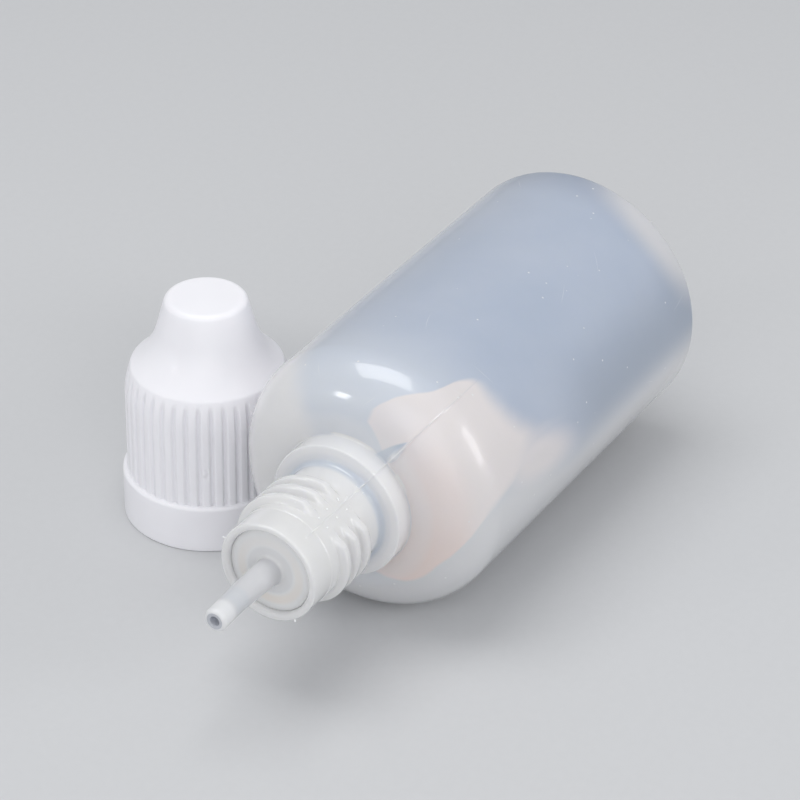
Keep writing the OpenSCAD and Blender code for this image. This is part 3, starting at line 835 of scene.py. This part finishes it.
def ring_of_teeth_tree():
    """Blocks set round a ring, all alike, each facing the cap's axis."""
    tree, sizes = new_geometry_tree("ring_of_teeth", "Count", "Ring Radius", "Depth", "Width", "Height", "Top Slope",
                                    "Foot", "First Angle")
    ring = node(tree, "GeometryNodeMeshCircle", {"Vertices": sizes["Count"], "Radius": sizes["Ring Radius"]})
    block = node(tree, "GeometryNodeMeshCube", {
        "Size": vector_of(tree, sizes["Depth"], sizes["Width"], sizes["Height"])})
    x, y, z = split(tree.nodes.new("GeometryNodeInputPosition").outputs[0])
    sloped = node(tree, "GeometryNodeSetPosition", {
        "Geometry": block.outputs["Mesh"], "Selection": calc("GREATER_THAN", z, 0.0),
        "Offset": vector_of(tree, z=times(x, times(sizes["Top Slope"], -1.0)))})
    index = tree.nodes.new("GeometryNodeInputIndex").outputs[0]
    spread = node(tree, "GeometryNodeInstanceOnPoints", {
        "Points": ring.outputs["Mesh"], "Instance": sloped.outputs[0],
        "Rotation": vector_of(tree, z=ratio(times(index, 2 * math.pi), sizes["Count"]))})
    moved = node(tree, "GeometryNodeTransform", {
        "Geometry": spread.outputs[0], "Translation": vector_of(tree, z=scaled(sizes["Height"], 0.5, sizes["Foot"])),
        "Rotation": vector_of(tree, z=sizes["First Angle"])})
    return close_geometry_tree(tree, moved.outputs[0], sizes["Material"])


def ring_of_teeth(name, body, material, slot, **sizes):
    """A ring of drive blocks as a piece of its own, riding with the cap that it is moulded on."""
    ring = new_object(name, bpy.data.meshes.new(name))
    sizes = {socket.replace("_", " "): float(value) for socket, value in sizes.items()}
    shaped_by(ring, ring_of_teeth_nodes, {**sizes, "Material": material})
    laid(ring, standing)
    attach(ring, body)


ring_of_teeth_nodes = ring_of_teeth_tree()
drive = {"Count": 8, "Ring_Radius": 7.15 * MM, "Depth": 1.6 * MM, "Width": 1.3 * MM}
ring_of_teeth("drive_lugs", "outer_cap", cap_white, "cap_white", **drive, Height=3.0 * MM, Top_Slope=0.94,
              Foot=(plate_z + 1.0) * MM, First_Angle=0)


# Inner cap
# The threaded cap that sits inside the outer one, of plain white polypropylene: a flange that the
# snap bead holds, a skirt with the screw thread, a sealing plate, and a snout with a pin for the tube.

flange_z, flange_t, flange_r = 1.73, 1.4, 9.12
skirt_r, skirt_bore_r, thread_in_r = 8.35, 7.45, 6.5
lip_z, snout_end_z, snout_top = 16.13, 26.78, 0.75
snout_root_r, snout_tip_r, snout_wall, pin_r = 2.1, 1.85, 0.9, 0.52

inner_cap_white, tree, shader, skin = new_plastic(
    "inner_cap_white",
    {"Cloud Size": 5.0, "Grain Size": 0.2, "Grain Share": 0.1, "Roughness": 0.5, "Roughness Swing": 0.1,
     "Speck Spacing": 2.6, "Speck Radius": 0.06, "Speck Share": 0.1, "Seed": 150.0},
    0.35, IOR=1.49, Subsurface_Weight=0.2, Subsurface_Radius=(1.0, 0.95, 0.85), Subsurface_Scale=0.7 * MM)
inner_colour = washed(
    mixed(skin.outputs["Cloud"], (0.80, 0.80, 0.785), (0.87, 0.87, 0.86)),
    (skin.outputs["Speck Mask"], 0.4, (0.4, 0.38, 0.37)))
tree.links.new(inner_colour, shader.inputs["Base Color"])

inner_outline = [
    (skirt_bore_r, flange_z + 0.2), (skirt_bore_r + 0.2, flange_z), (flange_r - 0.4, flange_z),
    (flange_r, flange_z + 0.4), *arc(flange_r - 0.1, flange_z + flange_t - 0.1, 0.1, 0.1, 0, 90, 3),
    *arc(skirt_r + 0.15, flange_z + flange_t + 0.15, 0.15, 0.15, 270, 180, 4),
    (skirt_r, plate_z - 0.4), (skirt_r - 0.4, plate_z),
    *arc(snout_root_r + snout_wall + 0.4, plate_z + 0.4, 0.4, 0.4, 270, 180, 5),
    (snout_tip_r + snout_wall, snout_end_z), (snout_tip_r, snout_end_z + snout_top), (0, snout_end_z + snout_top),
    (0, snout_end_z - 1.0), (pin_r - 0.15, snout_end_z - 1.0), (pin_r, snout_end_z - 0.85), (pin_r, snout_end_z),
    (snout_tip_r, snout_end_z), (snout_root_r, lip_z + 0.2), (snout_root_r + 0.2, lip_z),
    *arc(skirt_bore_r - 0.2, lip_z - 0.2, 0.2, 0.2, 90, 0, 4)]


def inner_run(r, z):
    """The skirt's bore is cut finely for the thread, the rest coarsely."""
    return 0.12 if abs(r - skirt_bore_r) < 0.05 and z < 10 else 0.8


inner_rows = divided([*inner_outline, inner_outline[0]], inner_run)[:-1]
inner = turned("inner_cap_piece", inner_rows, [i * 2.5 for i in range(144)])
shaped_by(inner, screw_thread, {
    "Wall Radius": skirt_bore_r * MM, "Ridge Height": (thread_in_r - skirt_bore_r) * MM,
    "Start": (flange_z + thread_root_w) * MM, "Pitch": thread_pitch * MM, "Turns": thread_turns,
    "Root Width": thread_root_w * MM, "Crest Width": thread_crest_w * MM, "Run Out": thread_run_out,
    "Stop Angle": 0.0, "Stop Inner": 0.1, "Stop Outer": 0.3, "Stop Depth": 0.0, "Material": inner_cap_white})
laid(inner, standing)
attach(inner, "inner_cap")
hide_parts("inner_cap")
ring_of_teeth("drive_teeth", "inner_cap", inner_cap_white, "inner_cap_white", **drive, Height=1.1 * MM, Top_Slope=0,
              Foot=(plate_z - 0.2) * MM, First_Angle=math.pi / 8)


# Table
# A plain pale matt table top with a very fine tooth, wide enough for any view. It is paler far from the
# middle, where the lamps don't reach.

table_r = 3.0

table_top, tree, shader = new_material("table_top")
spot = tree.nodes.new("ShaderNodeTexCoord").outputs["Object"]
tooth = node(tree, "ShaderNodeTexNoise", {"Vector": spot, "Scale": 900.0}).outputs["Fac"]
table_colour = washed(
    mixed(tooth, (0.575, 0.58, 0.59), (0.595, 0.60, 0.61)),
    (over(off_centre(*split(spot)[:2]), 0.3, 0.9), 1.0, (0.94, 0.945, 0.955)))
tree.links.new(table_colour, shader.inputs["Base Color"])
tree.links.new(scaled(tooth, 0.06, 0.62), shader.inputs["Roughness"])
shader.inputs["Specular IOR Level"].default_value = 0.15
table = new_object("table_top", bpy.data.meshes.new("table_top"))
rim = [(table_r * cos_deg(a), table_r * sin_deg(a), 0.0) for a in range(0, 360, 5)]
table.data.from_pydata(rim, [], [list(range(len(rim)))])
table.data.materials.append(table_top)


# Light
# A long soft box overhead, a small one low at the front left, a tall one at the right and a large one behind
# the camera, all turned to the middle of the set, under an even sky.

lit_middle = Vector((0, 0, 0.015))
for name, toward, away, width, length, watts in (
        ("overhead_box", (0.06, -0.16, 0.98), 0.45, 0.22, 0.34, 0.81),
        ("front_left_box", (0.80, -0.50, 0.33), 0.5, 0.07, 0.07, 0.14),
        ("right_box", (-0.25, 0.89, 0.34), 0.5, 0.14, 0.24, 0.55),
        ("front_box", (0.80, 0.42, 0.42), 0.85, 0.80, 0.80, 2.25)):
    lamp = bpy.data.lights.new(name, "AREA")
    lamp.shape = "RECTANGLE"
    lamp.size, lamp.size_y = width, length
    lamp.energy = watts
    box = new_object(name, lamp)
    direction = Vector(toward).normalized()
    box.location = lit_middle + direction * away
    box.rotation_mode = "QUATERNION"
    box.rotation_quaternion = direction.to_track_quat("Z", "Y")

sky = bpy.data.worlds.new("even_sky")
bpy.context.scene.world = sky
sky.use_nodes = True
tree = sky.node_tree
tree.nodes.clear()
lit = node(tree, "ShaderNodeBackground", {"Color": (0.95, 0.97, 1.0, 1.0), "Strength": 0.55}).outputs[0]
seen = node(tree, "ShaderNodeBackground", {"Color": (0.62, 0.625, 0.635, 1.0)}).outputs[0]
paths = tree.nodes.new("ShaderNodeLightPath").outputs
seen_directly = larger(paths["Is Camera Ray"], paths["Is Transmission Ray"])
choice = node(tree, "ShaderNodeMixShader", {0: seen_directly, 1: lit, 2: seen}).outputs[0]
node(tree, "ShaderNodeOutputWorld", {0: choice})


# Camera
# It looks down at the dropper tip from the front right, as the photograph does.

lens = bpy.data.cameras.new("photo_camera")
lens.sensor_width, lens.lens = 36.0, 158.084
lens.clip_start, lens.clip_end = 0.01, 20.0
camera = new_object("photo_camera", lens)
camera_place = (0.29589, 0.18323, 0.24070)
right, up, back = (-0.51292, 0.85839, 0.00857), (-0.45782, -0.28198, 0.84314), (0.72616, 0.42854, 0.53762)
camera.matrix_world = Matrix.Translation(camera_place) @ Matrix((right, up, back)).transposed().to_4x4()
bpy.context.scene.camera = camera
bpy.context.scene.view_settings.view_transform = "Standard"
